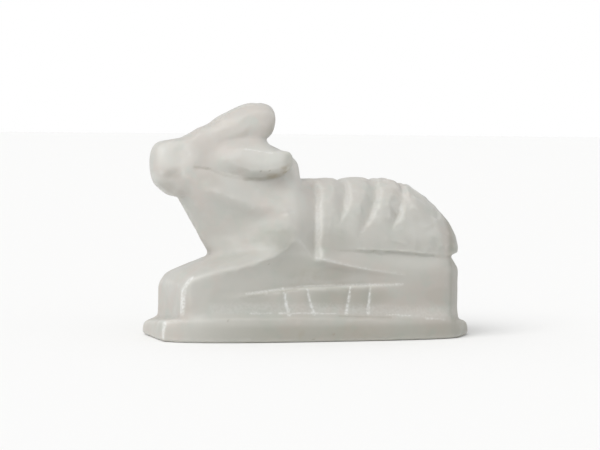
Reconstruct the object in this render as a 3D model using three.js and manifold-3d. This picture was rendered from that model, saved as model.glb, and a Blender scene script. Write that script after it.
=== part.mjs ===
// A small recumbent Nandi bull carved from one block of white stone, on the low
// boat-shaped plinth that is part of the same block. Millimetres, +Z up. The bull faces
// -X and its left flank looks towards -Y. The plinth stands on z = 0.
import * as THREE from 'three';
import { mergeVertices } from 'three/addons/utils/BufferGeometryUtils.js';
import Module from 'manifold-3d';

const wasm = await Module();
wasm.setup();

// Overall size of the carving and thickness of its plinth, and the same at which the tables
// below are drawn. Places, widths and heights in the tables follow the overall size, and the
// figure stands on the plinth. Edges, fillets and the depths of grooves are sizes of their own.
const size = { length: 75, width: 32, height: 53.3, plinth: 5.9 };
const drawn = { length: 75, width: 32, height: 53.3, plinth: 5.9 };
const long = (x) => (x * size.length) / drawn.length;
const wide = (y) => (y * size.width) / drawn.width;
const tall = (rise) => (rise * (size.height - size.plinth)) / (drawn.height - drawn.plinth);
const high = (z) => size.plinth + tall(z - drawn.plinth);

// Plinth: a low slab with bowed sides, cut square at both ends. half is half its width and
// fall is how far its top lies below the full thickness, both along x.
const plinth = {
  front: long(-37.7),
  rear: long(36.7),
  stations: 30,
  half: widths([-37.7, 9.1], [-36, 10.6], [-34, 11.9], [-31, 13.2], [-27, 14.3], [-18, 15.5], [-4, 16],
    [10, 16], [20, 15.5], [28, 14.2], [31, 12.8], [36.7, 5.4]),
  fall: depths([-37.7, 1], [-35.5, 0.75], [-31, 0.3], [-22, 0], [-5, 0], [19, 0.9], [30, 1.5],
    [36.7, 2.5]),
  rightFall: depths([-37.7, 1.5], [-34, 1.4], [-31, 1], [-26, 0], [36.7, 0]), // and more on the right
  topEdge: { inward: 0.9, down: 1.7, round: 0.3 }, // round is where its middle line lies
  footEdge: { inward: 0.5, up: 0.5 },
};
const plinthTop = (x) => size.plinth - plinth.fall(x);

// Legs: one block for the folded legs and haunches, given along x.
const legs = {
  front: long(-33.8),
  rear: long(33.9),
  stations: 36,
  sink: 2.5, // how far the block reaches down into the plinth
  half: widths([-33.8, 10.3], [-32.7, 11.4], [-31, 11.8], [-24, 12.8], [-14, 13.7],
    [0, 14.1], [16, 14], [25, 13.1], [28.5, 12.4], [29.8, 11.6], [31.4, 9.4], [33.9, 5.5]),
  // height where the side turns into the upper bevel
  bevelLow: levels([-33.8, 11.2], [-32.9, 13], [-31, 14.1], [-24.8, 16], [-17, 17.9], [-11.6, 20.2],
    [-7, 21.5], [-3.4, 19], [3.2, 17.2], [12.3, 15.5], [20, 15.2], [28, 15.6], [33.9, 15.6]),
  // height where the bevel ends, and how far in from the side it ends there
  bevelTop: levels([-33.8, 12.4], [-32.9, 13.8], [-31, 15.1], [-24.8, 17.4], [-17, 19.9], [-11.6, 22.6],
    [-7, 23.4], [-3.4, 21], [3.2, 20.9], [13.9, 20.3], [28, 19.6], [30.6, 18.8], [33.9, 16.2]),
  topInset: widths([-33.8, 1], [-31, 1.4], [-24.8, 1.8], [-17, 1.9], [-7, 1], [-3.4, 0.8], [3.2, 1.7],
    [13, 2.1], [30, 2.3], [33.9, 1.8]),
  // height of the middle
  crown: levels([-33.8, 12.9], [-32.9, 14.3], [-31, 15.6], [-28.9, 16.5], [-26.5, 17.5], [-24.8, 18.5],
    [-20, 20.4], [-14, 22.6], [28, 20.6], [30.4, 19.1], [33.9, 16.4]),
  // how much lower the right foreleg lies than the left one
  rightDrop: depths([-33.8, 0.4], [-31, 0.6], [-24, 0.6], [-15, 0], [33.9, 0]),
  footFlare: depths([-33.8, 0.1], [-33, 0.3], [-24, 0.8], [12, 0.9], [20, 1.3], [26, 1.5],
    [30, 1.2], [33.9, 0.8]),
  flareHeight: depths([-33.8, 2.4], [10, 2.8], [22, 3.6], [30, 3.6], [33.9, 3]),
  // shares that shape the section: the rounded crown, the bevel and the fillet at the foot
  crownAt: 0.3,
  crownDrop: 0.6,
  slopeAt: 0.7,
  slopeShare: 0.45,
  bevelBulge: 0.36,
  filletOut: 0.3,
  filletUp: 0.4,
};

// Barrel: ribs and rump, a superellipse section that grows out of the legs block.
const barrel = {
  front: long(-12),
  rear: long(34.5),
  stations: 31,
  around: 20,
  square: 2.15, // superellipse exponent of the section
  half: widths([-12, 8.5], [-9, 11], [-4, 12.9], [6, 13.1], [16, 13.2], [24, 12.5], [29, 11],
    [32, 8.6], [33.9, 5.8], [34.5, 3.8]),
  spine: levels([-12, 34], [-4, 36], [6, 36.3], [13, 36.5], [19, 36], [22, 35], [25.6, 32.8],
    [29.2, 29.8], [31.9, 26.8], [33.7, 23.9], [34.5, 21.8]),
  belly: levels([-12, 20.6], [2, 20.6], [14, 20.2], [30, 19], [34.5, 19.4]),
};

// Grooves cut over the back between the ribs. Each path leans forward as it goes down.
// x is at the spine, lean is how far forward the lower end lies, end is how far down the
// section the cut reaches (1 is the belly line).
const ribGrooves = [
  { x: long(6.2), lean: long(6.2), end: 0.85 },
  { x: long(13.9), lean: long(8.9), end: 0.96 },
  { x: long(20.8), lean: long(9.1), end: 0.93 },
];
const ribCut = {
  depth: 1.45,
  frontWall: 2.8,
  rearWall: 1.45,
  bend: 2, // exponent of the forward lean
  spineShare: 0.6, // share of the depth that the cut has on the spine
  spineRun: 0.35, // how far down the section it reaches its depth, 1 is the belly line
  stations: 20,
  fade: { front: 0.1, rear: 0.1, run: 5.5 }, // depth at both ends, and how fast it grows
};

// The wide groove between shoulder and ribs: its valley [x, half width, z], foot to top.
const shoulderGroove = {
  valley: [[-3.6, 14, 17], [-3.5, 13.6, 19.4], [-3.2, 13, 24], [-2.9, 12, 28], [-2.5, 10.3, 30.9],
    [-1.8, 7.8, 33.5], [-1.3, 5.2, 35.1], [-1, 3, 35.8]],
  depth: 1.8,
  frontWall: 3.5,
  rearWall: 1.5,
  stations: 16,
  fade: { front: 0.15, rear: 0.2, run: 4 },
};

// The recess under shoulder and thigh, with a ledge at its foot over the lower legs.
const recess = {
  front: long(-27),
  rear: long(19.6),
  stations: 28,
  top: levels([-27, 13.4], [-24.8, 15.1], [-17, 17.9], [-12, 20.2], [-9.6, 22.4], [-7.6, 23.4],
    [-5.4, 22.6], [-3.4, 18.9], [3.2, 17.2], [12.3, 15.5], [16, 14.9], [19.6, 13.6]),
  ledge: levels([-27, 10.4], [-19.5, 10.7], [-11.2, 11.8], [-5, 12.3], [5, 12.5], [19.6, 12.6]),
  depth: depths([-27, 0], [-24, 0.35], [-19, 0.7], [-11, 1.4], [-5, 1.9], [3, 1.8], [9, 1.2],
    [14, 0.6], [19.6, 0]),
  lip: 0.3, // share of the height over which the wall under the top edge goes in
  lipDepth: 0.8, // and the share of the depth that it reaches there
  ledgeFall: 0.5, // how much the ledge slopes down outwards
  clear: 2.5, // how far the cutter stands clear of the legs
};

// Hoof lines: [x at the ledge, x at the plinth]
const hoofLines = [[-11.2, -10], [-5.8, -4.1], [4.7, 3.3], [9.4, 8.6]];
const hoofCut = {
  depth: 0.6,
  frontWall: 0.45,
  rearWall: 0.45,
  stations: 5,
  overrun: 0.4, // how far the cut starts above the ledge
  flareFrom: 0.6, // share of the way down where it begins to follow the fillet
};

// Neck and head: rings that fan from the chest to the muzzle. Each names the [x, z] of its
// top and bottom, its half widths low down, at the cheek line and high up, the share of
// the way up where the cheek line lies, and how hollow the side is below that line.
const neckHead = [
  { top: [-2.6, 28], bottom: [-18, 10], half: [11, 13.9, 12], cheek: 0.62, hollow: -1 },
  { top: [-3.6, 32], bottom: [-21, 14.6], half: [8.6, 13.3, 10.4], cheek: 0.68, hollow: -1.3 },
  { top: [-4.1, 35.8], bottom: [-23.7, 18.2], half: [4.6, 12.2, 7], cheek: 0.66, hollow: -0.4 },
  { top: [-4.2, 38.3], bottom: [-26.1, 21.8], half: [2.6, 11.1, 5.6], cheek: 0.5, hollow: 1.2 },
  { top: [-4.8, 40.2], bottom: [-28.5, 25.8], half: [2, 10, 5], cheek: 0.37, hollow: 0.7 },
  { top: [-9, 42.9], bottom: [-30.8, 29.6], half: [2, 8.9, 4.5], cheek: 0.26, hollow: 0.2 },
  { top: [-12.5, 44.4], bottom: [-32, 31.8], half: [2.2, 7.7, 4.2], cheek: 0.2, hollow: 0 },
  { top: [-18, 46], bottom: [-33, 32], half: [2.6, 6.8, 4.2], cheek: 0.23, hollow: 0 },
  { top: [-24.6, 48.3], bottom: [-34.1, 32.1], half: [2.9, 6.2, 4.2], cheek: 0.27, hollow: 0 },
  { top: [-28.2, 46.8], bottom: [-35.2, 32.9], half: [2.9, 5.7, 3.8], cheek: 0.32, hollow: 0 },
  { top: [-31.3, 45.2], bottom: [-36, 33.5], half: [3, 5.4, 3.6], cheek: 0.36, hollow: 0 },
  { top: [-34.2, 44.7], bottom: [-36.8, 34.2], half: [3, 5.2, 3.6], cheek: 0.4, hollow: 0 },
  { top: [-36.6, 44.1], bottom: [-37.4, 34.9], half: [2.9, 4.9, 3.5], cheek: 0.45, hollow: -0.4 },
  { top: [-37.8, 43.1], bottom: [-37.9, 36.1], half: [2.4, 4, 2.8], cheek: 0.5, hollow: -0.4 },
  { top: [-38.3, 41.6], bottom: [-38.2, 37.8], half: [1.2, 2.2, 1.4], cheek: 0.5, hollow: -0.3 },
];
const neckRings = 35;
// Shares that shape a neck ring: [out, up] of its control points below and above the cheek.
const neckCurve = {
  throatAt: 0.03,
  throatOut: 0.55,
  lower: [[0.6, 0.24], [0.66, 0.7]],
  upper: [0.7, 0.62],
  brow: 0.93,
  crownOut: 0.5,
  lowerSteps: 4,
  upperSteps: 5,
};

// Eye: a short slit in front of the ear's root, as [x, half width, z] points.
const eye = {
  line: [[-30, 5.6, 38.8], [-28.4, 6, 38.6], [-26.2, 6.4, 38.1]],
  depth: 1,
  frontWall: 0.5,
  rearWall: 0.5,
  fade: { front: 0.3, rear: 0.3, run: 3 },
};

// Horn: a club that sweeps back from the brow, flattened above into a sloping plane. The
// pair touches along the middle. line is [x, z]; section is [outward, up] in half sizes.
const horn = {
  line: [[-29.5, 43], [-26, 44.7], [-22, 46.5], [-18, 48.1], [-14.4, 48.9], [-10.7, 48.4]],
  tall: [1.4, 2.3, 3.1, 3.7, 4.3, 4.8],
  thick: [1.6, 2.4, 3, 3.4, 3.6, 3.6],
  offset: [2, 2.6, 3, 3.3, 3.6, 3.7],
  section: [[-0.3, 1], [0.3, 0.88], [0.84, 0.56], [1, -0.1], [0.78, -0.7], [0.3, -1], [-0.5, -1],
    [-1, -0.6], [-1.05, 0], [-1, 0.62], [-0.68, 0.95]],
  roundEnd: 0.78, // share of the length where the blunt end starts to close
  roundness: [2.5, 0.4], // exponents of the closing curve
  tipSize: 0.04,
  crowding: 1.7, // brings the rings closer together towards the blunt end
  rings: 16,
};

// Ear: a leaf with a sharp upper ridge, standing out from the head behind the eye. Each
// corner of its section is [half width, z].
const ear = {
  stations: [
    { x: -28, root: [3.6, 42.4], ridge: [4.4, 41.4], lower: [5, 39.8], under: [3.8, 39] },
    { x: -25, root: [4.2, 44.2], ridge: [5.7, 42.6], lower: [6.7, 39.3], under: [5.4, 36.9] },
    { x: -22.6, root: [4.7, 45], ridge: [7.1, 42.9], lower: [7.9, 39.5], under: [6.2, 35.8] },
    { x: -20, root: [5.2, 45.6], ridge: [8.5, 42.9], lower: [9.1, 39], under: [6.5, 35.2] },
    { x: -17.6, root: [5.5, 46.1], ridge: [9.1, 42.7], lower: [9.9, 38.3], under: [6.7, 34.8] },
    { x: -15, root: [5.5, 46.4], ridge: [9.4, 42.3], lower: [10.5, 38.2], under: [6.8, 34.7] },
    { x: -13, root: [5.2, 45], ridge: [9.6, 42.1], lower: [10.8, 38.3], under: [6.8, 34.8] },
    { x: -11.4, root: [4.8, 43.5], ridge: [9.7, 42.3], lower: [10.8, 38.5], under: [6.8, 35.4] },
    { x: -9.8, root: [5.4, 42.9], ridge: [9.6, 42.6], lower: [10.5, 38.9], under: [7, 36.5] },
    { x: -8.6, root: [7.6, 42.4], ridge: [9.4, 42.4], lower: [10.1, 39.2], under: [8, 37.6] },
    { x: -8, root: [8.4, 41.6], ridge: [9.2, 41.6], lower: [9.7, 39.8], under: [8.7, 39.2] },
  ],
  bulgeAt: 0.55, // the front of the ear swells a little here between ridge and lower edge
  bulge: 0.4,
  dip: 0.25, // and the plane above the ridge is hollowed by this much
  rings: 18,
};

const stone = new THREE.MeshStandardMaterial({ color: 0xc9c7c0, roughness: 0.42, metalness: 0 });

// A smooth value along a list of [position, value] keys (Hermite curve, no overshoot).
function rail(...keys) {
  const rise = keys.slice(1).map(([x, y], i) => (y - keys[i][1]) / (x - keys[i][0]));
  const slope = keys.map((_, i) => {
    const [before, after] = [rise[i - 1] ?? rise[i], rise[i] ?? rise[i - 1]];
    return before * after <= 0 ? 0 : (2 * before * after) / (before + after);
  });
  return (x) => {
    const last = keys.length - 1;
    if (x <= keys[0][0]) return keys[0][1];
    if (x >= keys[last][0]) return keys[last][1];
    const i = keys.findIndex(([at]) => at > x) - 1;
    const span = keys[i + 1][0] - keys[i][0];
    const t = (x - keys[i][0]) / span;
    const t2 = t * t;
    const t3 = t2 * t;
    return (2 * t3 - 3 * t2 + 1) * keys[i][1] + (t3 - 2 * t2 + t) * span * slope[i]
      + (3 * t2 - 2 * t3) * keys[i + 1][1] + (t3 - t2) * span * slope[i + 1];
  };
}

// Rails along the figure: half widths, heights, and depths that are sizes of their own.
function widths(...keys) {
  return rail(...keys.map(([x, half]) => [long(x), wide(half)]));
}

function levels(...keys) {
  return rail(...keys.map(([x, z]) => [long(x), high(z)]));
}

function depths(...keys) {
  return rail(...keys.map(([x, depth]) => [long(x), depth]));
}

// A drawn point on the -Y side.
const nearPoint = ([x, half, z]) => new THREE.Vector3(long(x), -wide(half), high(z));

// A closed skin over rings that have the same number of points, with a fan at each end.
function loft(rings) {
  const around = rings[0].length;
  const points = rings.flat();
  const faces = [];
  rings.slice(1).forEach((_, r) => {
    for (let i = 0; i < around; i += 1) {
      const j = (i + 1) % around;
      const [a, b, c, d] = [r * around + i, r * around + j, (r + 1) * around + j, (r + 1) * around + i];
      faces.push(a, b, c, a, c, d);
    }
  });
  [[0, true], [rings.length - 1, false]].forEach(([r, flip]) => {
    const middle = rings[r].reduce((sum, p) => sum.clone().add(p), new THREE.Vector3());
    points.push(middle.divideScalar(around));
    for (let i = 0; i < around; i += 1) {
      const pair = [r * around + i, r * around + ((i + 1) % around)];
      faces.push(points.length - 1, ...(flip ? pair.reverse() : pair));
    }
  });
  const geometry = new THREE.BufferGeometry().setFromPoints(points);
  geometry.setIndex(faces);
  return geometry;
}

// The volume's sign says whether the faces point out.
function volumeOf(geometry) {
  const at = geometry.getAttribute('position');
  const [a, b, c] = [new THREE.Vector3(), new THREE.Vector3(), new THREE.Vector3()];
  let sum = 0;
  for (let i = 0; i < geometry.index.count; i += 3) {
    a.fromBufferAttribute(at, geometry.index.getX(i));
    b.fromBufferAttribute(at, geometry.index.getX(i + 1));
    c.fromBufferAttribute(at, geometry.index.getX(i + 2));
    sum += a.dot(b.cross(c)) / 6;
  }
  return sum;
}

const weldDistance = 1e-4;

function solid(source) {
  const bare = source.clone();
  bare.deleteAttribute('normal');
  bare.deleteAttribute('uv');
  const geometry = mergeVertices(bare, weldDistance);
  const triVerts = Uint32Array.from(geometry.index.array);
  if (volumeOf(geometry) < 0) triVerts.reverse();
  const vertProperties = Float32Array.from(geometry.getAttribute('position').array);
  return new wasm.Manifold(new wasm.Mesh({ numProp: 3, vertProperties, triVerts }));
}

// Both sides of a shape that is made for the -Y side.
const bothSides = (geometry) => [geometry, geometry.clone().scale(1, -1, 1)].map(solid);

const steps = (from, to, count) =>
  Array.from({ length: count + 1 }, (_, i) => from + ((to - from) * i) / count);

function makePlinth() {
  const { front, rear, stations, half, rightFall, topEdge, footEdge } = plinth;
  const along = steps(front, rear, stations);
  const ring = (inset, levelAt, farFall) => {
    const pull = (x) => Math.max(front + inset, Math.min(rear - inset, x));
    const near = along.map((x) => new THREE.Vector3(pull(x), inset - half(x), levelAt(x)));
    const far = along.map((x) => new THREE.Vector3(pull(x), half(x) - inset, levelAt(x) - farFall(x)));
    return [...near, ...far.reverse()];
  };
  const level = () => 0;
  return solid(loft([
    ring(footEdge.inward, level, level),
    ring(0, () => footEdge.up, level),
    ring(0, (x) => plinthTop(x) - topEdge.down, rightFall),
    ring(topEdge.inward * topEdge.round, (x) => plinthTop(x) - topEdge.down * topEdge.round, rightFall),
    ring(topEdge.inward, plinthTop, rightFall),
  ]));
}

// One side of the legs block at x as [half width, z], from the middle down to the foot.
function legsSide(x, drop) {
  const half = legs.half(x);
  const inset = half - legs.topInset(x);
  const foot = plinthTop(x);
  const flare = legs.footFlare(x);
  const [low, top, crown] = [legs.bevelLow(x), legs.bevelTop(x), legs.crown(x)];
  return [
    [inset * legs.crownAt, crown - drop * legs.crownDrop],
    [inset * legs.slopeAt, top + (crown - top) * legs.slopeShare - drop],
    [inset, top - drop],
    [half - legs.topInset(x) * legs.bevelBulge, (low + top) / 2 - drop],
    [half, low - drop],
    [half, foot + legs.flareHeight(x)],
    [half + flare * legs.filletOut, foot + legs.flareHeight(x) * legs.filletUp],
    [half + flare, foot],
    [half + flare, foot - legs.sink],
  ];
}

function makeLegs() {
  const rings = steps(legs.front, legs.rear, legs.stations).map((x) => [
    ...legsSide(x, 0).map(([y, z]) => new THREE.Vector3(x, -y, z)),
    ...legsSide(x, legs.rightDrop(x)).map(([y, z]) => new THREE.Vector3(x, y, z)).reverse(),
  ]);
  return solid(loft(rings));
}

// Point on the barrel: turn runs from 0 at the left belly line over the spine to 1.
function onBarrel(x, turn) {
  const angle = Math.PI * turn;
  const curve = (v) => Math.sign(v) * Math.abs(v) ** (2 / barrel.square);
  const belly = barrel.belly(x);
  return new THREE.Vector3(x, -barrel.half(x) * curve(Math.cos(angle)),
    belly + (barrel.spine(x) - belly) * curve(Math.sin(angle)));
}

function makeBarrel() {
  const rings = steps(barrel.front, barrel.rear, barrel.stations).map((x) => [
    ...steps(0, 1, barrel.around).map((turn) => onBarrel(x, turn)),
  ]);
  return solid(loft(rings));
}

// A V-shaped cutter along a path on a surface. frontWall and rearWall are the widths of
// its two walls. fade gives the share of the depth at the path's ends, shares that at its points.
function grooveCutter(path, normals, cut, shares = path.map(() => 1)) {
  const clear = 0.8; // how far the cutter stands clear of the surface
  const rings = path.map((p, i) => {
    const ahead = path[Math.min(i + 1, path.length - 1)];
    const behind = path[Math.max(i - 1, 0)];
    const along = ahead.clone().sub(behind).normalize();
    const out = normals[i];
    const across = along.clone().cross(out).normalize();
    if (across.x < 0) across.negate();
    const t = i / (path.length - 1);
    const { front, rear, run } = cut.fade ?? { front: 1, rear: 1, run: 0 };
    const depth = cut.depth * shares[i] * Math.min(1, front + run * t, rear + run * (1 - t));
    const grow = (depth + clear) / cut.depth;
    return [
      p.clone().addScaledVector(out, -depth),
      p.clone().addScaledVector(out, clear).addScaledVector(across, cut.rearWall * grow),
      p.clone().addScaledVector(out, clear).addScaledVector(across, -cut.frontWall * grow),
    ];
  });
  return loft(rings);
}

function barrelNormal(x, turn) {
  const near = 0.01;
  const along = onBarrel(x + near, turn).sub(onBarrel(x - near, turn));
  const round = onBarrel(x, Math.min(turn + near, 1)).sub(onBarrel(x, Math.max(turn - near, 0)));
  const out = along.cross(round).normalize();
  const middle = new THREE.Vector3(x, 0, barrel.belly(x));
  return out.dot(onBarrel(x, turn).sub(middle)) < 0 ? out.negate() : out;
}

function makeRibCutters() {
  return ribGrooves.map(({ x, lean, end }) => {
    const turns = steps((1 - end) / 2, (1 + end) / 2, ribCut.stations);
    const at = (turn) => x - lean * Math.abs(2 * turn - 1) ** ribCut.bend;
    const path = turns.map((turn) => onBarrel(at(turn), turn));
    const normals = turns.map((turn) => barrelNormal(at(turn), turn));
    const { spineShare, spineRun } = ribCut;
    const shares = turns.map((turn) =>
      Math.min(1, spineShare + ((1 - spineShare) * Math.abs(2 * turn - 1)) / spineRun));
    return solid(grooveCutter(path, normals, ribCut, shares));
  });
}

function makeShoulderCutters() {
  const valley = new THREE.CatmullRomCurve3(shoulderGroove.valley.map(nearPoint));
  const marks = steps(0, 1, shoulderGroove.stations);
  const path = marks.map((t) => valley.getPoint(t));
  const lengthwise = new THREE.Vector3(1, 0, 0);
  const normals = marks.map((t) => lengthwise.clone().cross(valley.getTangent(t)).normalize());
  return bothSides(grooveCutter(path, normals, shoulderGroove));
}

function makeRecessCutters() {
  const rings = steps(recess.front, recess.rear, recess.stations).map((x) => {
    const skin = legs.half(x);
    const reach = skin + recess.clear;
    const [top, ledge, depth] = [recess.top(x), recess.ledge(x), recess.depth(x)];
    return [
      new THREE.Vector3(x, -skin, top),
      new THREE.Vector3(x, -(skin - depth * recess.lipDepth), top + (ledge - top) * recess.lip),
      new THREE.Vector3(x, -(skin - depth), ledge),
      new THREE.Vector3(x, -reach, ledge - recess.ledgeFall),
      new THREE.Vector3(x, -reach, top),
    ];
  });
  return bothSides(loft(rings));
}

function makeEyeCutters() {
  const path = eye.line.map(nearPoint);
  return bothSides(grooveCutter(path, path.map(() => new THREE.Vector3(0, -1, 0)), eye));
}

function makeHoofCutters() {
  return hoofLines.flatMap(([atLedge, atPlinth]) => {
    const [xTop, xBottom] = [long(atLedge), long(atPlinth)];
    const top = recess.ledge(xTop) + hoofCut.overrun;
    const foot = plinthTop(xBottom);
    const path = steps(0, 1, hoofCut.stations).map((t) => {
      const x = xTop + (xBottom - xTop) * t;
      const flared = Math.max(0, (t - hoofCut.flareFrom) / (1 - hoofCut.flareFrom)) ** 2;
      return new THREE.Vector3(x, -legs.half(x) - legs.footFlare(x) * flared, top + (foot - top) * t);
    });
    return bothSides(grooveCutter(path, path.map(() => new THREE.Vector3(0, -1, 0)), hoofCut));
  });
}

// One side of a neck ring as [half width, share of the way up]: throat, hollow lower
// plane, cheek corner, rounded upper plane, crown.
function neckSide([low, widest, top], cheek, hollow) {
  const c = neckCurve;
  const spread = widest - low;
  const [[outA, upA], [outB, upB]] = c.lower;
  const lower = new THREE.CubicBezierCurve(
    new THREE.Vector2(low, c.throatAt),
    new THREE.Vector2(low + spread * outA, cheek * upA),
    new THREE.Vector2(low + spread * outB - hollow, cheek * upB),
    new THREE.Vector2(widest, cheek),
  );
  const upper = new THREE.QuadraticBezierCurve(
    new THREE.Vector2(widest, cheek),
    new THREE.Vector2(top + (widest - top) * c.upper[0], cheek + (c.brow - cheek) * c.upper[1]),
    new THREE.Vector2(top, c.brow),
  );
  return [
    new THREE.Vector2(low * c.throatOut, 0),
    ...lower.getPoints(c.lowerSteps),
    ...upper.getPoints(c.upperSteps).slice(1),
    new THREE.Vector2(top * c.crownOut, 1),
  ];
}

// A smooth run through one value of each station, counted by its place in the list.
const through = (stations, pick) => rail(...stations.map((station, i) => [i, pick(station)]));

function makeNeckAndHead() {
  const topX = through(neckHead, (s) => long(s.top[0]));
  const topZ = through(neckHead, (s) => high(s.top[1]));
  const bottomX = through(neckHead, (s) => long(s.bottom[0]));
  const bottomZ = through(neckHead, (s) => high(s.bottom[1]));
  const halves = [0, 1, 2].map((k) => through(neckHead, (s) => wide(s.half[k])));
  const cheek = through(neckHead, (s) => s.cheek);
  const hollow = through(neckHead, (s) => wide(s.hollow));
  const rings = steps(0, neckHead.length - 1, neckRings).map((s) => {
    const top = new THREE.Vector3(topX(s), 0, topZ(s));
    const bottom = new THREE.Vector3(bottomX(s), 0, bottomZ(s));
    const side = neckSide(halves.map((half) => half(s)), cheek(s), hollow(s));
    const point = (y, up) => bottom.clone().lerp(top, up).setY(y);
    return [
      ...side.map((v) => point(-v.x, v.y)),
      ...side.map((v) => point(v.x, v.y)).reverse(),
    ];
  });
  return solid(loft(rings));
}

function makeHorns() {
  const line = new THREE.CatmullRomCurve3(horn.line.map(([x, z], i) => nearPoint([x, horn.offset[i], z])));
  const last = horn.line.length - 1;
  const upright = through(horn.tall, tall);
  const thick = through(horn.thick, wide);
  const [shoulder, tip] = horn.roundness;
  const across = new THREE.Vector3(0, -1, 0);
  const rings = steps(0, 1, horn.rings).map((u) => {
    const t = 1 - (1 - u) ** horn.crowding;
    const closing = Math.max(0, (t - horn.roundEnd) / (1 - horn.roundEnd));
    const grown = Math.max(horn.tipSize, (1 - closing ** shoulder) ** tip);
    const up = across.clone().cross(line.getTangent(t)).normalize();
    return horn.section.map(([outward, upward]) => line.getPoint(t)
      .addScaledVector(across, thick(t * last) * grown * outward)
      .addScaledVector(up, upright(t * last) * grown * upward));
  });
  return bothSides(loft(rings));
}

function makeEars() {
  const { stations, bulgeAt, bulge, dip } = ear;
  const x = through(stations, (s) => s.x);
  const corners = ['root', 'ridge', 'lower', 'under'].map((name) => [
    through(stations, (s) => s[name][0]), through(stations, (s) => s[name][1]),
  ]);
  const rings = steps(0, stations.length - 1, ear.rings).map((s) => {
    const [root, ridge, lower, under] = corners.map(([y, z]) => nearPoint([x(s), y(s), z(s)]));
    const swell = ridge.clone().lerp(lower, bulgeAt).add(new THREE.Vector3(0, -bulge, 0));
    const hollow = root.clone().lerp(ridge, 0.5).add(new THREE.Vector3(0, 0, -dip));
    return [root, hollow, ridge, swell, lower, under];
  });
  return bothSides(loft(rings));
}

function carve() {
  const masses = [makePlinth(), makeLegs(), makeBarrel(), makeNeckAndHead()];
  const body = masses.reduce((whole, mass) => whole.add(mass));
  const cutters = [
    ...makeRecessCutters(), ...makeShoulderCutters(), ...makeRibCutters(), ...makeHoofCutters(),
    ...makeEyeCutters(),
  ];
  const cut = cutters.reduce((whole, cutter) => whole.subtract(cutter), body);
  return [...makeHorns(), ...makeEars()].reduce((whole, mass) => whole.add(mass), cut);
}

function toGeometry(manifold) {
  const { vertProperties, triVerts, numProp } = manifold.getMesh();
  if (numProp !== 3) throw new Error('expected bare positions');
  const geometry = new THREE.BufferGeometry();
  geometry.setAttribute('position', new THREE.BufferAttribute(vertProperties, 3));
  geometry.setIndex(new THREE.BufferAttribute(triVerts, 1));
  return geometry;
}

const figure = new THREE.Mesh(toGeometry(carve()), stone);
figure.name = 'nandi_bull';
figure.geometry.computeBoundingBox();
const middle = figure.geometry.boundingBox.getCenter(new THREE.Vector3());
figure.geometry.translate(-middle.x, -middle.y, 0);
figure.geometry.computeVertexNormals();

const group = new THREE.Group();
group.add(figure);

export default group;
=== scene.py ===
# A small Nandi bull carved from one block of white stone, resting on its boat-shaped plinth.
import math
import bpy
import bmesh
import numpy as np
from mathutils import Matrix, Vector, noise
from mathutils.kdtree import KDTree


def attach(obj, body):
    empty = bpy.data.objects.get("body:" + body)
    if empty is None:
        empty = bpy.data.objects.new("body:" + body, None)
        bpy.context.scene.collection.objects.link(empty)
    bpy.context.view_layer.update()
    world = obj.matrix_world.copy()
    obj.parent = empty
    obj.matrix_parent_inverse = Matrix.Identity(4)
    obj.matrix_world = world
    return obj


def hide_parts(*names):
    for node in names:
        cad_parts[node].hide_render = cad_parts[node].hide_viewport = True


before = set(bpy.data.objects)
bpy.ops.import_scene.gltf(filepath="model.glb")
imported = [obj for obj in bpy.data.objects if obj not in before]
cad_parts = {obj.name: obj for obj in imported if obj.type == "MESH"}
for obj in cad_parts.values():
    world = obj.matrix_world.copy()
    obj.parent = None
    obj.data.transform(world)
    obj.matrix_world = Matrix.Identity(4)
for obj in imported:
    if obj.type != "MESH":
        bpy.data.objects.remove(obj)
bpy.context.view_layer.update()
mm = 0.001

# What the carver's tools leave behind, in millimetres unless it says otherwise
bull = {
    "voxel": 0.385,         # size of the fine mesh that the tool marks are worked into
    "arrisAngle": 19.0,     # degrees between faces from which an arris stays crisp
    "planePasses": 14,
    "fitPasses": 12,
    "flatSpacing": 2.9,     # flats left by the rasp
    "flatLean": 0.10,       # how far each flat leans out of the surface it was cut into
    "flatLift": 0.12,       # keeps the figure's size, since every flat takes stone away
    "flatLimit": 0.30,
    "flatSoftening": 6,     # passes that take the sharpness off the flats
    "flatSeed": 11,
    "raspBody": 0.16,       # how much of the rasp still shows, as shares that add up
    "raspBack": 0.34,
    "raspRump": 0.50,
    "raspNeck": 0.16,
    "unevenSize": 6.0,      # slow unevenness of a shape judged by eye
    "unevenDepth": 0.07,
    "rippleSize": 1.3,      # small ripples inside the flats
    "rippleDepth": 0.012,
    "arrisWearAndHighlight": 0.6,       # worn arrises with a painted highlight, painted shade in hollows and a painted highlight on groove sides facing the light, from 0 to 1
    "hollowShade": 0.5,
    "wallHighlight": 0.3,
    "legShade": (0.18, 0.34),     # painted shade at the foot: all along, and more of it behind
    "plinthShade": (0.10, 0.28),
    "middle": 0.8,          # x of the frame's origin, seen from where the places below are counted
}

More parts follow.
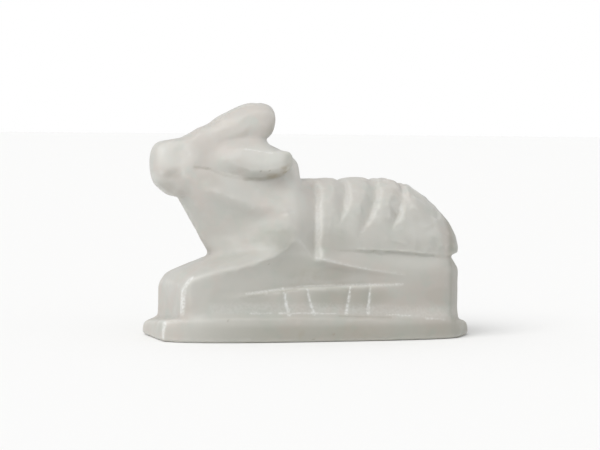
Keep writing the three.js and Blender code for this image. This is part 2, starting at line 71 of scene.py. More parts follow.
# Places that were sanded over until their arris went, on both sides: x, half width, z, radius, passes
sanded = {
    "muzzle": [
        (-36.4, 4.6, 37.6, 4.6, 45), (-36.0, 4.2, 41.6, 4.6, 45),
    ],
    "brow, where the ear starts": [
        (-27.2, 5.4, 42.0, 4.2, 60),
    ],
    "under the horn": [
        (-24.2, 5.3, 44.0, 3.0, 40), (-20.4, 5.5, 45.2, 2.0, 24), (-16.4, 6.0, 45.5, 1.8, 14),
    ],
    "along the horn": [
        (-26.0, 4.6, 46.0, 2.4, 24), (-22.0, 5.5, 48.2, 2.6, 24), (-18.0, 6.2, 50.2, 2.6, 20),
        (-14.4, 6.6, 51.2, 2.4, 14),
    ],
    "back of the jaw": [
        (-29.0, 3.6, 32.6, 2.0, 16),
    ],
    "ridge of the neck": [
        (-30.6, 6.0, 33.6, 3.0, 24), (-28.0, 7.3, 32.6, 3.0, 30), (-25.2, 8.6, 33.0, 3.0, 30),
        (-22.3, 9.4, 32.2, 3.0, 30), (-19.7, 9.9, 31.2, 3.0, 30), (-17.0, 10.4, 30.4, 3.0, 30),
        (-14.6, 10.9, 30.1, 3.0, 30), (-12.0, 11.3, 30.0, 3.0, 24),
    ],
    "crest behind the shoulder": [
        (-1.9, 10.2, 33.2, 1.5, 14), (-1.8, 10.9, 31.4, 1.5, 14), (-1.7, 11.4, 29.6, 1.4, 12),
        (-1.8, 11.8, 27.8, 1.3, 8),
    ],
    "over the front of the foreleg": [
        (-33.8, 9.0, 12.6, 1.8, 14), (-33.8, 5.0, 12.8, 2.2, 14), (-28.5, 9.0, 15.5, 3.2, 16),
    ],
    "between chest and foreleg": [
        (-24.2, 3.0, 18.8, 2.6, 24), (-23.4, 6.0, 18.6, 2.6, 24), (-21.0, 7.8, 19.2, 2.6, 24),
        (-17.6, 9.6, 20.6, 2.2, 16),
    ],
}

# Shallow dents, [x, z] on both flanks: the mouth, the brow and two chips in the neck
dents = [
    {"line": [(-37.6, 36.0), (-35.4, 36.6), (-33.2, 38.0)], "width": (1.2, 1.5), "depth": 0.16},
    {"line": [(-32.2, 42.6), (-31.3, 41.8)], "width": (1.4, 1.1), "depth": 0.16},
    {"line": [(-13.0, 32.4), (-11.6, 32.6)], "width": (0.9, 0.7), "depth": 0.12},
    {"line": [(-11.0, 28.8), (-8.8, 29.2)], "width": (0.6, 0.6), "depth": 0.12},
]

# Lines on both flanks, [x, z] with the bull facing -x: pale where the tool cut last, and a painted
# highlight where the hoof cuts, the ledges and the foot face the light. The widths are half the line's,
# where it starts and where it ends.
paleCutAndHighlightLines = [
    {"line": [(-11.1, 12.0), (-10.5, 8.8), (-10.0, 6.3)], "width": (0.26, 0.62)},
    {"line": [(-5.7, 12.3), (-4.9, 8.9), (-4.2, 6.3)], "width": (0.26, 0.56)},
    {"line": [(4.7, 12.5), (4.1, 9.0), (3.5, 6.3)], "width": (0.28, 0.62)},
    {"line": [(9.4, 12.6), (9.1, 9.0), (8.7, 6.2)], "width": (0.28, 0.56)},
    {"line": [(-19.5, 10.8), (-11.2, 11.8), (-5.0, 12.3)], "width": (0.40, 0.34), "amount": 0.55},
    {"line": [(-5.0, 12.3), (5.0, 12.5), (17.0, 12.6)], "width": (0.36, 0.30), "amount": 0.65},
    {"line": [(-3.2, 18.7), (3.2, 17.2), (9.0, 16.1)], "width": (0.28, 0.22), "amount": 0.5},
    {"line": [(9.0, 16.1), (17.5, 14.7)], "width": (0.3, 0.3), "amount": 0.25},
    {"line": [(-27.0, 7.6), (4.0, 7.4), (16.0, 6.6), (31.0, 6.0)], "width": (1.7, 2.0), "amount": 0.2},
    {"line": [(-18.7, 6.5), (-16.4, 6.5)], "width": (0.22, 0.22), "amount": 0.8},
    {"line": [(-15.5, 6.5), (-14.0, 6.5)], "width": (0.2, 0.2), "amount": 0.6},
    {"line": [(-12.3, 6.5), (-7.0, 6.4), (0.9, 6.3)], "width": (0.25, 0.2), "amount": 0.7},
    {"line": [(13.3, 5.8), (18.6, 5.6)], "width": (0.22, 0.22), "amount": 0.7},
    {"line": [(22.5, 4.9), (27.4, 4.5)], "width": (0.25, 0.2), "amount": 0.6},
]

# Pale arrises with a painted highlight where they catch the light, at the ends and along the ear's ridge,
# as [x, y, z] on the left side
paleArrisHighlights = [
    {"line": [(-31.6, -11.1, 14.4), (-32.5, -11.0, 13.7), (-33.3, -10.7, 12.2), (-33.8, -10.4, 6.8)],
     "width": (0.7, 1.15)},
    {"line": [(-37.3, -9.3, 4.7), (-37.5, -9.1, 0.9)], "width": (1.0, 0.5)},
    {"line": [(-37.2, -9.4, 4.5), (-35.2, -10.6, 4.7), (-32.6, -12.0, 4.9)],
     "width": (0.8, 0.4), "amount": 0.2},
    {"line": [(-20.5, -8.5, 43.0), (-17.6, -9.1, 42.8), (-13.0, -9.6, 42.1)], "width": (0.30, 0.30)},
]

# Dark thin lines on both flanks: a dark line in the eye slit, and painted shade under the ear and barrel,
# in the seam over the plinth and under the ledge
darkShadeLines = [
    {"line": [(-29.9, 38.7), (-26.6, 38.35)], "width": (0.45, 0.40)},
    {"line": [(-26.6, 38.35), (-23.3, 36.9), (-18.8, 36.15)], "width": (0.35, 0.5), "amount": 0.3},
    {"line": [(-18.8, 36.15), (-15.3, 36.1), (-11.6, 36.7), (-9.5, 37.3)],
     "width": (0.6, 0.8), "amount": 0.7},
    {"line": [(2.5, 20.3), (7.5, 20.4)], "width": (0.25, 0.4), "amount": 0.35},
    {"line": [(1.5, 5.75), (7.0, 5.5)], "width": (0.28, 0.2), "amount": 0.6},
    {"line": [(7.6, 5.5), (14.0, 5.3)], "width": (0.24, 0.26), "amount": 0.5},
    {"line": [(-14.5, 11.0), (-8.0, 11.7)], "width": (0.32, 0.24), "amount": 0.5},
    {"line": [(-19.0, 10.3), (-15.5, 10.7)], "width": (0.5, 0.4), "amount": 0.4},
    {"line": [(-1.0, 11.7), (3.5, 11.8)], "width": (0.45, 0.35), "amount": 0.35},
]

# Darker patches, [x, z] with half sizes, on both flanks: darker stone, and painted shade in the hollows,
# under the ear, on the horn's end and at the tail end
darkStoneAndShadePatches = [
    {"place": (-12.5, 23.0), "size": (7.5, 5.0), "shade": 0.65},
    {"place": (-18.5, 26.5), "size": (6.5, 5.0), "shade": 0.25},
    {"place": (-8.0, 16.5), "size": (11.0, 5.0), "shade": 0.55},
    {"place": (0.5, 15.0), "size": (9.0, 3.0), "shade": 0.65},
    {"place": (0.0, 22.0), "size": (9.5, 5.5), "shade": 0.5},
    {"place": (4.0, 9.8), "size": (19.0, 4.6), "shade": 0.85},
    {"place": (-17.5, 9.8), "size": (7.0, 2.6), "shade": 0.6},
    {"place": (27.0, 9.8), "size": (9.5, 4.2), "shade": 0.6},
    {"place": (-14.6, 36.7), "size": (6.5, 1.4), "shade": 0.35},
    {"place": (-21.6, 37.7), "size": (4.0, 1.6), "shade": 0.08},
    {"place": (-34.4, 37.3), "size": (2.6, 2.0), "shade": 0.4},
    {"place": (-36.0, 34.0), "size": (3.0, 2.4), "shade": 0.4},
    {"place": (-9.5, 46.6), "size": (4.5, 5.5), "shade": 0.7},
    {"place": (-27.0, 35.6), "size": (4.5, 2.6), "shade": 0.3},
    {"place": (-8.5, 40.5), "size": (3.0, 2.6), "shade": 0.6},
    {"place": (-34.0, 6.5), "size": (4.5, 6.0), "shade": 0.4},
    {"place": (-24.0, 10.0), "size": (8.0, 4.5), "shade": 0.4},
]

# Lighter ones: worn stone, and painted light where the surface faces the light
rubbedAndPaintedLightPatches = [
    {"place": (-34.5, 41.5), "size": (6.5, 5.5), "shade": 0.9},
    {"place": (-21.0, 47.5), "size": (9.0, 3.4), "shade": 0.45},
    {"place": (-14.5, 41.5), "size": (7.5, 3.6), "shade": 0.8},
    {"place": (-6.5, 37.0), "size": (5.0, 4.5), "shade": 1.0},
    {"place": (-7.5, 31.0), "size": (4.0, 6.0), "shade": 0.5},
    {"place": (-22.5, 21.6), "size": (4.5, 3.0), "shade": 0.35},
    {"place": (22.0, 17.6), "size": (10.0, 2.4), "shade": 0.3},
    {"place": (23.0, 5.9), "size": (10.0, 1.7), "shade": 0.3},
    {"place": (17.0, 33.0), "size": (6.0, 4.5), "shade": 0.5},
    {"place": (22.5, 24.5), "size": (6.5, 3.0), "shade": 0.5},
]

# Brown soil that stayed in hollows, and brown painted shade under the ear, over the ledge, low on the
# plinth and on the horn's end, in the same way
earthAndShadePatches = [
    {"place": (-9.6, 38.4), "size": (2.6, 1.5), "shade": 0.6},
    {"place": (-12.4, 36.9), "size": (2.6, 0.9), "shade": 0.5},
    {"place": (-21.6, 37.8), "size": (4.0, 1.5), "shade": 0.1},
    {"place": (-7.4, 1.8), "size": (1.4, 2.6), "shade": 0.2},
    {"place": (-4.5, 14.6), "size": (6.5, 3.2), "shade": 0.12},
    {"place": (4.5, 2.2), "size": (8.0, 2.8), "shade": 0.12},
    {"place": (-10.0, 46.6), "size": (4.5, 4.6), "shade": 0.10},
    {"place": (14.5, 33.5), "size": (4.0, 3.0), "shade": 0.08},
]

# Small pits, [x, z, radius], on both flanks
pits = [
    (-24.2, 5.0, 0.30), (0.0, 1.6, 0.32), (-4.6, 0.7, 0.34), (-14.3, 17.3, 0.22), (-15.6, 37.9, 0.28),
    (-13.8, 38.1, 0.22), (-28.0, 38.55, 0.34), (-27.2, 38.45, 0.28), (7.7, 9.2, 0.2),
]


def smoothstep(low, high, value):
    t = np.clip((value - low) / (high - low), 0.0, 1.0)
    return t * t * (3.0 - 2.0 * t)


def readMesh(mesh):
    points = np.zeros(len(mesh.vertices) * 3)
    mesh.vertices.foreach_get("co", points)
    edges = np.zeros(len(mesh.edges) * 2, dtype=np.int64)
    mesh.edges.foreach_get("vertices", edges)
    return points.reshape(-1, 3), edges.reshape(-1, 2)


def writeMesh(mesh, points):
    mesh.vertices.foreach_set("co", points.ravel())
    mesh.update()


def outward(mesh):
    normals = np.zeros(len(mesh.vertices) * 3)
    mesh.vertices.foreach_get("normal", normals)
    return normals.reshape(-1, 3)


def neighbourMean(values, edges):
    count = np.bincount(edges.ravel(), minlength=len(values))[:, None]
    total = np.zeros_like(values)
    for axis in range(values.shape[1]):
        total[:, axis] += np.bincount(edges[:, 0], values[edges[:, 1], axis], len(values))
        total[:, axis] += np.bincount(edges[:, 1], values[edges[:, 0], axis], len(values))
    return total / np.maximum(count, 1)


def relax(points, edges, passes, amount=0.5):
    for _ in range(passes):
        points = points + (neighbourMean(points, edges) - points) * amount
    return points


def copyOfNode(nodeName, pieceName, voxel):
    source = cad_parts[nodeName]
    build = bmesh.new()
    build.from_mesh(source.data)
    bmesh.ops.remove_doubles(build, verts=build.verts, dist=0.001 * mm)
    rough = bpy.data.meshes.new(pieceName + "Rough")
    build.to_mesh(rough)
    build.free()
    piece = bpy.data.objects.new(pieceName, rough)
    bpy.context.scene.collection.objects.link(piece)
    remesh = piece.modifiers.new("fineMesh", "REMESH")
    remesh.mode = "VOXEL"
    remesh.voxel_size = voxel * mm
    remesh.adaptivity = 0.0
    bpy.context.view_layer.update()
    depsgraph = bpy.context.evaluated_depsgraph_get()
    fine = bpy.data.meshes.new_from_object(piece.evaluated_get(depsgraph))
    fine.name = pieceName
    piece.modifiers.clear()
    piece.data = fine
    bpy.data.meshes.remove(rough)
    return piece


def faceTable(mesh):
    corners = np.zeros(len(mesh.loops), dtype=np.int64)
    mesh.loops.foreach_get("vertex_index", corners)
    sides = np.zeros(len(mesh.loops), dtype=np.int64)
    mesh.loops.foreach_get("edge_index", sides)
    counts = np.zeros(len(mesh.polygons), dtype=np.int64)
    mesh.polygons.foreach_get("loop_total", counts)
    owner = np.repeat(np.arange(len(counts)), counts)
    order = np.argsort(sides, kind="stable")
    pairs = owner[order].reshape(-1, 2)    # the skin is closed, so each side has two faces
    return corners, owner, counts, pairs


def gather(values, slots, size):
    return np.stack([np.bincount(slots, values[:, axis], size) for axis in range(3)], axis=1)


def unit(vectors):
    return vectors / np.maximum(np.linalg.norm(vectors, axis=1, keepdims=True), 1e-20)


def planeCarved(mesh, spec):
    # evens out faces that nearly agree and leaves the arrises between planes, as sandpaper does
    points, _ = readMesh(mesh)
    corners, owner, counts, pairs = faceTable(mesh)
    size = len(counts)
    normals = np.zeros(size * 3)
    mesh.polygons.foreach_get("normal", normals)
    normals = normals.reshape(-1, 3)
    bound = math.cos(math.radians(spec["arrisAngle"]))
    for _ in range(spec["planePasses"]):
        agree = np.einsum("ij,ij->i", normals[pairs[:, 0]], normals[pairs[:, 1]])
        weight = np.maximum(agree - bound, 0.0) ** 2
        total = normals * (1.0 - bound) ** 2
        total = total + gather(normals[pairs[:, 1]] * weight[:, None], pairs[:, 0], size)
        total = total + gather(normals[pairs[:, 0]] * weight[:, None], pairs[:, 1], size)
        normals = unit(total)
    touching = np.bincount(corners, minlength=len(points))[:, None]
    for _ in range(spec["fitPasses"]):
        centres = gather(points[corners], owner, size) / counts[:, None]
        reach = np.einsum("ij,ij->i", centres[owner] - points[corners], normals[owner])
        points = points + gather(normals[owner] * reach[:, None], corners, len(points)) / touching
    writeMesh(mesh, points)


def sampleNoise(points, size, seed):
    offset = Vector((seed * 13.7, seed * 5.1, seed * 9.3))
    scale = 1.0 / (size * mm)
    return np.array([noise.noise(Vector(p) * scale + offset) for p in points])


def raspStrength(points, spec):
    # the rump is left roughest, then the ribs; legs, plinth and head are nearly smooth
    x, z = points[:, 0] / mm - spec["middle"], points[:, 2] / mm
    back = smoothstep(19.5, 21.0, z) * smoothstep(-3.0, 0.0, x)
    rump = back * smoothstep(12.0, 19.0, x)
    neck = smoothstep(19.0, 22.0, z) * (1.0 - smoothstep(-10.0, -4.0, x))
    share = spec["raspBody"] + spec["raspBack"] * back + spec["raspRump"] * rump + spec["raspNeck"] * neck
    return share * smoothstep(1.0, 3.0, z)


def raspFlats(mesh, spec):
    # each stroke of the rasp cuts a small plane, and the lowest plane near a point is what stays
    points, edges = readMesh(mesh)
    normals = outward(mesh)
    spacing = spec["flatSpacing"] * mm
    dice = np.random.default_rng(spec["flatSeed"])
    grid = {}
    for index in dice.permutation(len(points)):
        cell = tuple((points[index] // (spacing * 0.8)).astype(int))
        grid.setdefault(cell, index)
    seeds = np.array(list(grid.values()))
    tree = KDTree(len(seeds))
    for slot, index in enumerate(seeds):
        tree.insert(Vector(points[index]), slot)
    tree.balance()
    soft = relax(points, edges, 12)
    planes = unit(normals[seeds] + dice.normal(0.0, spec["flatLean"], (len(seeds), 3)))
    near = np.array([[found[1] for found in tree.find_n(Vector(p), 6)] for p in points])
    level = np.full(len(points), 1.0)
    for slots in near.T:
        height = np.einsum("ij,ij->i", soft[seeds[slots]] - points, planes[slots])
        agree = np.einsum("ij,ij->i", normals, normals[seeds[slots]])
        level = np.minimum(level, np.where(agree > 0.85, height, 1.0))
    level = np.where(level < 1.0, level + spec["flatLift"] * mm, 0.0)
    limit = spec["flatLimit"] * mm
    cut = np.clip(level, -limit, limit) * raspStrength(points, spec)
    points = points + normals * cut[:, None]
    writeMesh(mesh, relax(points, edges, spec["flatSoftening"], 0.4))


def sandOver(mesh, spec):
    points, edges = readMesh(mesh)
    for x, half, z, radius, passes in (spot for spots in sanded.values() for spot in spots):
        for side in (-1, 1):
            centre = np.array([x + spec["middle"], half * side, z]) * mm
            gap = np.linalg.norm(points - centre, axis=1) / (radius * mm)
            near = 1.0 - smoothstep(0.5, 1.0, gap)
            for _ in range(passes):
                points = points + (neighbourMean(points, edges) - points) * (0.5 * near)[:, None]
    writeMesh(mesh, points)


def handUneven(mesh, spec):
    points, _ = readMesh(mesh)
    normals = outward(mesh)
    flank = points[:, [0, 2]] / mm - np.array([spec["middle"], 0.0])
    sideways = smoothstep(0.3, 0.6, np.abs(normals[:, 1]))
    for dent in dents:
        depth = lineMask(flank, dent["line"], dent["width"], 0.0) * sideways * dent["depth"]
        points = points - normals * (depth * mm)[:, None]
    slow = sampleNoise(points, spec["unevenSize"], 1) * spec["unevenDepth"]
    ripple = sampleNoise(points, spec["rippleSize"], 2) * spec["rippleDepth"]
    above = smoothstep(0.1 * mm, 1.0 * mm, points[:, 2])    # the underside stays flat
    points = points + normals * ((slow + ripple) * mm * above)[:, None]
    writeMesh(mesh, points)


def lineMask(places, line, width, core=0.35):
    # 1 on the line, fading to 0 at its width, which runs from the first value to the second
    line = np.array(line, dtype=float)
    pieces = np.linalg.norm(line[1:] - line[:-1], axis=1)
    starts = np.concatenate(([0.0], np.cumsum(pieces)))
    best = np.full(len(places), 1e9)
    along = np.zeros(len(places))
    for i, length in enumerate(pieces):
        step = (line[i + 1] - line[i]) / length
        reach = np.clip((places - line[i]) @ step, 0.0, length)
        gap = np.linalg.norm(places - line[i] - reach[:, None] * step, axis=1)
        closer = gap < best
        best = np.where(closer, gap, best)
        along = np.where(closer, (starts[i] + reach) / starts[-1], along)
    half = width[0] + (width[1] - width[0]) * along
    return 1.0 - smoothstep(core, 1.0, best / half)


def drawn(places, marks, usual):
    # the strongest of the lines at each point; one without an amount of its own takes the usual one
    shade = np.zeros(len(places))
    for mark in marks:
        shade = np.maximum(shade, lineMask(places, mark["line"], mark["width"]) * mark.get("amount", usual))
    return shade


def clouded(places, patches):
    shade = np.zeros(len(places))
    for patch in patches:
        gap = np.linalg.norm((places - patch["place"]) / patch["size"], axis=1)
        shade = np.maximum(shade, patch["shade"] * (1.0 - smoothstep(0.3, 1.0, gap)))
    return shade


def pitted(places):
    shade = np.zeros(len(places))
    for x, z, radius in pits:
        gap = np.hypot(places[:, 0] - x, places[:, 1] - z)
        shade = np.maximum(shade, 1.0 - smoothstep(0.5, 1.0, gap / radius))
    return shade


def grooveWallHighlight(places, normals):
    # painted highlight on the rear wall of each groove in the flank, the wall that faces forwards into the
    # light
    low, high = smoothstep(18.5, 21.0, places[:, 2]), smoothstep(35.0, 36.6, places[:, 2])
    front, rear = smoothstep(-4.0, -2.5, places[:, 0]), smoothstep(19.5, 21.0, places[:, 0])
    return smoothstep(0.35, 0.62, -normals[:, 0]) * low * (1.0 - high) * front * (1.0 - rear)


def paintedShade(places, normals, spec):
    # painted shade: the stone turns darker towards its foot and on the faces turned towards the tail end
    behind = smoothstep(-36.0, -14.0, places[:, 0])
    foot = 1.0 - smoothstep(2.0, 40.0, places[:, 2])
    base = 1.0 - smoothstep(3.0, 4.4, places[:, 2])
    rear = smoothstep(28.5, 31.0, places[:, 0]) * smoothstep(0.2, 0.6, normals[:, 0])
    shade = rear
    for mask, (along, more) in ((foot, spec["legShade"]), (base, spec["plinthShade"])):
        shade = shade + mask * (along + more * behind)
    return shade


def storeLayer(mesh, name, values):
    layer = mesh.attributes.new(name, "FLOAT", "POINT")
    layer.data.foreach_set("value", values.astype(np.float32))


def storeMarks(mesh, spec):
    points, edges = readMesh(mesh)
    normals = outward(mesh)
    places = points / mm
    places[:, 0] -= spec["middle"]
    flank = places[:, [0, 2]]
    sideways = smoothstep(0.2, 0.5, np.abs(normals[:, 1]))
    # how far each point stands out from its surroundings, or lies in a hollow
    swell = np.einsum("ij,ij->i", points - relax(points, edges, 8), normals) / mm

    # Convex arrises are lighter, worn stone with a painted highlight; the lighter patches add worn stone
    # and painted light.
    wearAndHighlight = smoothstep(0.01, 0.10, swell) * spec["arrisWearAndHighlight"]
    storeLayer(mesh, "wearAndHighlight", np.maximum(wearAndHighlight, clouded(flank, rubbedAndPaintedLightPatches) * sideways))

    # Pale cut lines, with painted highlights on the hoof cuts, ledges, arrises and groove sides that face
    # the light.
    pale = np.maximum(drawn(flank, paleCutAndHighlightLines, 1.0) * sideways, drawn(places, paleArrisHighlights, 1.0))
    walls = grooveWallHighlight(places, normals) * sideways * spec["wallHighlight"]
    # the cut layer holds pale cut lines and painted highlights
    storeLayer(mesh, "cut", np.maximum(pale, walls))

    # Hollows darker: painted shade. The dark lines are painted shade, with the eye slit and small pits.
    dirtAndShade = smoothstep(0.02, 0.16, -swell) * spec["hollowShade"]
    shadeLinesAndPits = np.maximum(drawn(flank, darkShadeLines, 0.8), pitted(flank)) * sideways
    storeLayer(mesh, "dirtAndShade", np.maximum(dirtAndShade, shadeLinesAndPits))

    # Painted shade towards the foot, on the plinth and on faces turned to the tail end, with darker stone
    # and painted shade in patches.
    shadeAndDarkStone = np.maximum(paintedShade(places, normals, spec), clouded(flank, darkStoneAndShadePatches) * sideways)
    storeLayer(mesh, "shadeAndDarkStone", np.clip(shadeAndDarkStone, 0.0, 1.0))
    # Brown soil, with brown painted shade under the ear, over the ledge, low on the plinth and on the
    # horn's end.
    storeLayer(mesh, "earthAndShade", clouded(flank, earthAndShadePatches) * sideways)


def group(name, inputs, outputs):
    tree = bpy.data.node_groups.new(name, "ShaderNodeTree")
    for label, kind, value in inputs:
        socket = tree.interface.new_socket(label, in_out="INPUT", socket_type=kind)
        if value is not None:
            socket.default_value = value
    for label, kind in outputs:
        tree.interface.new_socket(label, in_out="OUTPUT", socket_type=kind)
    source = tree.nodes.new("NodeGroupInput")
    target = tree.nodes.new("NodeGroupOutput")
    return tree, source, target


def addNode(tree, kind, **settings):
    node = tree.nodes.new(kind)
    for key, value in settings.items():
        if key.startswith("in_"):
            node.inputs[key[3:].replace("_", " ")].default_value = value
        else:
            setattr(node, key, value)
    return node


def cloudGroup():
    tree, source, target = group(
        "stoneClouds",
        [("Vector", "NodeSocketVector", None), ("Size", "NodeSocketFloat", 120.0),
         ("Pale", "NodeSocketColor", (1, 1, 1, 1)), ("Warm", "NodeSocketColor", (1, 1, 1, 1)),
         ("Cool", "NodeSocketColor", (1, 1, 1, 1))],
        [("Color", "NodeSocketColor"), ("Mask", "NodeSocketFloat")],
    )
    link = tree.links.new
    large = addNode(tree, "ShaderNodeTexNoise", in_Detail=4.0, in_Roughness=0.55, in_Distortion=0.6)
    link(source.outputs["Vector"], large.inputs["Vector"])
    link(source.outputs["Size"], large.inputs["Scale"])
    bigger = addNode(tree, "ShaderNodeMath", operation="MULTIPLY")
    bigger.inputs[1].default_value = 3.7
    link(source.outputs["Size"], bigger.inputs[0])
    small = addNode(tree, "ShaderNodeTexNoise", in_Detail=5.0, in_Roughness=0.6)
    link(source.outputs["Vector"], small.inputs["Vector"])
    link(bigger.outputs[0], small.inputs["Scale"])
    warmMask = addNode(tree, "ShaderNodeMapRange", in_From_Min=0.46, in_From_Max=0.62)
    link(large.outputs["Fac"], warmMask.inputs["Value"])
    coolMask = addNode(tree, "ShaderNodeMapRange", in_From_Min=0.50, in_From_Max=0.66)
    link(small.outputs["Fac"], coolMask.inputs["Value"])
    first = addNode(tree, "ShaderNodeMix", data_type="RGBA")
    link(warmMask.outputs["Result"], first.inputs["Factor"])
    link(source.outputs["Pale"], first.inputs["A"])
    link(source.outputs["Warm"], first.inputs["B"])
    second = addNode(tree, "ShaderNodeMix", data_type="RGBA")
    link(coolMask.outputs["Result"], second.inputs["Factor"])
    link(first.outputs["Result"], second.inputs["A"])
    link(source.outputs["Cool"], second.inputs["B"])
    link(second.outputs["Result"], target.inputs["Color"])
    link(warmMask.outputs["Result"], target.inputs["Mask"])
    return tree


def scratchGroup():
    # fine rasp scratches that run in two slanted directions
    tree, source, target = group(
        "toolMarks",
        [("Vector", "NodeSocketVector", None), ("Size", "NodeSocketFloat", 900.0)],
        [("Height", "NodeSocketFloat")],
    )
    link = tree.links.new
    height = None
    for turn, stretch in ((0.5, (1.0, 1.0, 0.10)), (-0.9, (0.12, 1.0, 1.0))):
        mapping = addNode(tree, "ShaderNodeMapping", in_Rotation=(0.2, turn, 0.3), in_Scale=stretch)
        link(source.outputs["Vector"], mapping.inputs["Vector"])
        lines = addNode(tree, "ShaderNodeTexNoise", in_Detail=3.0, in_Roughness=0.7)
        link(mapping.outputs["Vector"], lines.inputs["Vector"])
        link(source.outputs["Size"], lines.inputs["Scale"])
        if height is None:
            height = lines.outputs["Fac"]
        else:
            blend = addNode(tree, "ShaderNodeMath", operation="ADD")
            link(height, blend.inputs[0])
            link(lines.outputs["Fac"], blend.inputs[1])
            height = blend.outputs[0]
    link(height, target.inputs["Height"])
    return tree


whiteStone = {
    "pale": (0.520, 0.512, 0.479, 1),
    "warm": (0.526, 0.494, 0.459, 1),
    "cool": (0.497, 0.502, 0.466, 1),
    "cloudSize": 62.0,          # this and the other sizes are noise scales, larger for finer grain
    "shadeAndDarkStoneColor": (0.70, 0.70, 0.66, 1),     # what painted shade and darker stone take off the stone's colour
    "wornAndHighlightColor": (0.70, 0.70, 0.66, 1),
    "wornAndHighlightAmount": 0.42,
    "cutAndHighlightColor": (0.80, 0.81, 0.80, 1),
    "cutAndHighlightAmount": (0.15, 0.6),   # pale cut lines and painted highlights are broken up between these two
    "cutAndHighlightSize": 1700.0,
    "dirtAndShadeColor": (0.24, 0.22, 0.17, 1),
    "dirtAndShadeSize": 420.0,
    "earthAndShadeColor": (0.31, 0.25, 0.16, 1),
    "earthAndShadeSize": 650.0,
    "roughness": (0.38, 0.55),
    "scratchSize": 900.0,
    "bumpDepth": 0.03,          # millimetres
    "bumpStrength": 0.6,
    "glowShare": 0.5,           # light that travels inside the stone
    "glowColors": (1.0, 0.92, 0.8),
    "glowDepth": 0.8,           # millimetres
    "refraction": 1.5,
}


def markLayer(tree, name):
    return addNode(tree, "ShaderNodeAttribute", attribute_name=name).outputs["Fac"]


def speckle(tree, place, size, detail):
    grain = addNode(tree, "ShaderNodeTexNoise", in_Scale=size, in_Detail=detail)
    tree.links.new(place, grain.inputs["Vector"])
    return grain.outputs["Fac"]


def ranged(tree, value, **limits):
    node = addNode(tree, "ShaderNodeMapRange", **limits)
    tree.links.new(value, node.inputs["Value"])
    return node.outputs["Result"]


def times(tree, value, factor):
    node = addNode(tree, "ShaderNodeMath", operation="MULTIPLY")
    tree.links.new(value, node.inputs[0])
    if isinstance(factor, float):
        node.inputs[1].default_value = factor
    else:
        tree.links.new(factor, node.inputs[1])
    return node.outputs[0]


def laidOver(tree, below, color, amount, blend="MIX"):
    mix = addNode(tree, "ShaderNodeMix", data_type="RGBA", blend_type=blend)
    tree.links.new(amount, mix.inputs["Factor"])
    tree.links.new(below, mix.inputs["A"])
    mix.inputs["B"].default_value = color
    return mix.outputs["Result"]


def stoneMaterial(spec):
    material = bpy.data.materials.new("whiteStone")
    material.use_nodes = True
    tree = material.node_tree
    tree.nodes.clear()
    link = tree.links.new
    place = addNode(tree, "ShaderNodeTexCoord").outputs["Object"]
    clouds = addNode(tree, "ShaderNodeGroup", node_tree=cloudGroup())
    clouds.inputs["Size"].default_value = spec["cloudSize"]
    for label in ("pale", "warm", "cool"):
        clouds.inputs[label.capitalize()].default_value = spec[label]
    link(place, clouds.inputs["Vector"])
    scratches = addNode(tree, "ShaderNodeGroup", node_tree=scratchGroup())
    scratches.inputs["Size"].default_value = spec["scratchSize"]
    link(place, scratches.inputs["Vector"])

    # painted shade and darker stone, multiplied into the colour
    shadeAndDarkStoneAmount = markLayer(tree, "shadeAndDarkStone")
    # worn stone and painted highlights
    wornAndHighlitAmount = times(tree, markLayer(tree, "wearAndHighlight"), spec["wornAndHighlightAmount"])
    # pale cut lines and painted highlights, broken up by fine grain
    low, high = spec["cutAndHighlightAmount"]
    crumbs = speckle(tree, place, spec["cutAndHighlightSize"], 2.0)
    broken = ranged(tree, crumbs, in_From_Min=0.35, in_From_Max=0.65, in_To_Min=low, in_To_Max=high)
    freshCutAndHighlight = times(tree, markLayer(tree, "cut"), broken)
    # dirt, and painted shade in hollows and under the ear and barrel
    dirtAndShadeAmount = times(tree, markLayer(tree, "dirtAndShade"), speckle(tree, place, spec["dirtAndShadeSize"], 3.0))
    # brown soil, and brown painted shade
    crusts = speckle(tree, place, spec["earthAndShadeSize"], 3.0)
    earthAndShadeMix = times(tree, markLayer(tree, "earthAndShade"), ranged(tree, crusts, in_From_Min=0.35, in_From_Max=0.62))

    color = laidOver(tree, clouds.outputs["Color"], spec["shadeAndDarkStoneColor"], shadeAndDarkStoneAmount, "MULTIPLY")
    color = laidOver(tree, color, spec["wornAndHighlightColor"], wornAndHighlitAmount)
    color = laidOver(tree, color, spec["cutAndHighlightColor"], freshCutAndHighlight)
    color = laidOver(tree, color, spec["dirtAndShadeColor"], dirtAndShadeAmount)
    color = laidOver(tree, color, spec["earthAndShadeColor"], earthAndShadeMix)
    smooth, coarse = spec["roughness"]
    rough = ranged(tree, clouds.outputs["Mask"], in_To_Min=smooth, in_To_Max=coarse)
    bump = addNode(tree, "ShaderNodeBump", in_Strength=spec["bumpStrength"])
    bump.inputs["Distance"].default_value = spec["bumpDepth"] * mm
    link(scratches.outputs["Height"], bump.inputs["Height"])

    stone = addNode(tree, "ShaderNodeBsdfPrincipled", in_IOR=spec["refraction"])
    stone.inputs["Subsurface Weight"].default_value = spec["glowShare"]
    stone.inputs["Subsurface Radius"].default_value = spec["glowColors"]
    stone.inputs["Subsurface Scale"].default_value = spec["glowDepth"] * mm
    link(color, stone.inputs["Base Color"])
    link(rough, stone.inputs["Roughness"])
    link(bump.outputs["Normal"], stone.inputs["Normal"])
    output = addNode(tree, "ShaderNodeOutputMaterial")
    link(stone.outputs["BSDF"], output.inputs["Surface"])
    return material


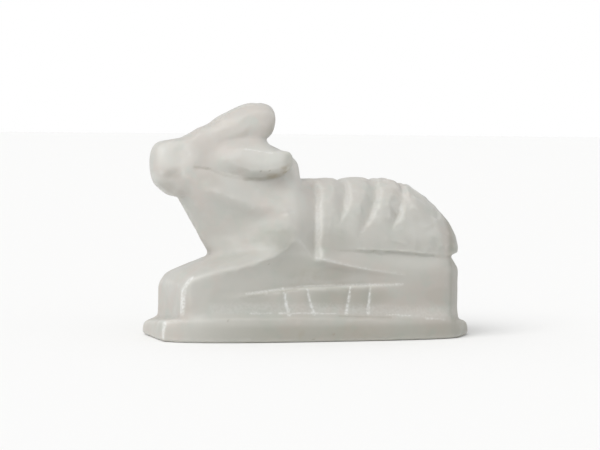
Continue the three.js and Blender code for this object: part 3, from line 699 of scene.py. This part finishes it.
def carveBull(spec):
    piece = copyOfNode("nandi_bull", "nandiBull", spec["voxel"])
    print("fine mesh", len(piece.data.vertices), "points")
    planeCarved(piece.data, spec)
    sandOver(piece.data, spec)
    print("planes evened and sanded")
    raspFlats(piece.data, spec)
    handUneven(piece.data, spec)
    print("rasp flats cut")
    storeMarks(piece.data, spec)
    piece.data.shade_smooth()
    piece.data.materials.clear()
    piece.data.materials.append(stoneMaterial(whiteStone))
    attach(piece, "root")
    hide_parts("nandi_bull")
    print("bull carved")


room = {
    "floorColor": (0.90, 0.90, 0.895, 1),
    "floorSize": 3.0,
    "floorRoughness": 0.9,
    "floorShine": 0.1,
    "skyStrength": 0.70,
    "backdropStrength": 1.0,        # the far wall, a low band all round
    "backdropTop": (0.045, 0.10),   # where it fades into the ceiling, as the height of the view direction
    "windowFrom": (-0.8, -0.6, 1.0),
    "windowPower": 1.7,
    "windowSpread": 45.0,           # degrees across, as seen from the object
}


def makeRoom(spec):
    build = bmesh.new()
    bmesh.ops.create_grid(build, x_segments=1, y_segments=1, size=spec["floorSize"])
    mesh = bpy.data.meshes.new("floor")
    build.to_mesh(mesh)
    build.free()
    floor = bpy.data.objects.new("floor", mesh)
    bpy.context.scene.collection.objects.link(floor)
    material = bpy.data.materials.new("palePaper")
    material.use_nodes = True
    shader = material.node_tree.nodes["Principled BSDF"]
    shader.inputs["Base Color"].default_value = spec["floorColor"]
    shader.inputs["Roughness"].default_value = spec["floorRoughness"]
    shader.inputs["Specular IOR Level"].default_value = spec["floorShine"]
    mesh.materials.append(material)
    world = bpy.data.worlds.new("softRoom")
    world.use_nodes = True
    tree = world.node_tree
    place = addNode(tree, "ShaderNodeTexCoord")
    split = addNode(tree, "ShaderNodeSeparateXYZ")
    fade = addNode(tree, "ShaderNodeMapRange")
    fade.inputs["From Min"].default_value, fade.inputs["From Max"].default_value = spec["backdropTop"]
    fade.inputs["To Min"].default_value = spec["backdropStrength"]
    fade.inputs["To Max"].default_value = spec["skyStrength"]
    tree.links.new(place.outputs["Generated"], split.inputs["Vector"])
    tree.links.new(split.outputs["Z"], fade.inputs["Value"])
    tree.links.new(fade.outputs["Result"], tree.nodes["Background"].inputs["Strength"])
    tree.nodes["Background"].inputs["Color"].default_value = (1, 1, 1, 1)
    bpy.context.scene.world = world


def lightRoom(spec):
    window = bpy.data.lights.new("windowLight", "SUN")
    window.energy = spec["windowPower"]
    window.angle = math.radians(spec["windowSpread"])
    lamp = bpy.data.objects.new("windowLight", window)
    lamp.location = spec["windowFrom"]
    lamp.rotation_euler = (-Vector(spec["windowFrom"])).to_track_quat("-Z", "Y").to_euler()
    bpy.context.scene.collection.objects.link(lamp)


# The photograph's camera: turned 18 degrees towards the bull's face, almost level with its back
shot = {
    "turn": 18.0,
    "rise": 3.0,
    "roll": -0.8,
    "distance": 550.0,
    "pixelsPerMm": 4.36,
    "sensor": 36.0,
    "frame": (600, 450),
    "target": (0.8, 0.0, 26.0),
    "targetPixel": (312.5, 222.2),
}


def placeCamera(spec):
    turn, rise, roll = (math.radians(spec[key]) for key in ("turn", "rise", "roll"))
    ahead = Vector((math.sin(turn) * math.cos(rise), math.cos(turn) * math.cos(rise), -math.sin(rise)))
    right = Vector((math.cos(turn), -math.sin(turn), 0))
    up = right.cross(ahead)
    sideways = right * math.cos(roll) - up * math.sin(roll)
    upwards = right * math.sin(roll) + up * math.cos(roll)
    slideX = (spec["targetPixel"][0] - spec["frame"][0] / 2) / spec["pixelsPerMm"]
    slideY = (spec["frame"][1] / 2 - spec["targetPixel"][1]) / spec["pixelsPerMm"]
    target = Vector(spec["target"]) - sideways * slideX - upwards * slideY
    lens = bpy.data.cameras.new("photoCamera")
    lens.sensor_width = spec["sensor"]
    lens.lens = spec["pixelsPerMm"] * spec["distance"] * spec["sensor"] / spec["frame"][0]
    lens.clip_start, lens.clip_end = 0.01, 20.0
    camera = bpy.data.objects.new("photoCamera", lens)
    camera.matrix_world = Matrix((sideways, upwards, -ahead)).transposed().to_4x4()
    camera.location = (target - ahead * spec["distance"]) * mm
    bpy.context.scene.collection.objects.link(camera)
    bpy.context.scene.camera = camera
    print("camera placed")


placeCamera(shot)
carveBull(bull)
makeRoom(room)
lightRoom(room)
bpy.context.scene.view_settings.view_transform = "Standard"
bpy.context.scene.view_settings.look = "None"
bpy.context.scene.view_settings.exposure = 0.0
print("room lit")
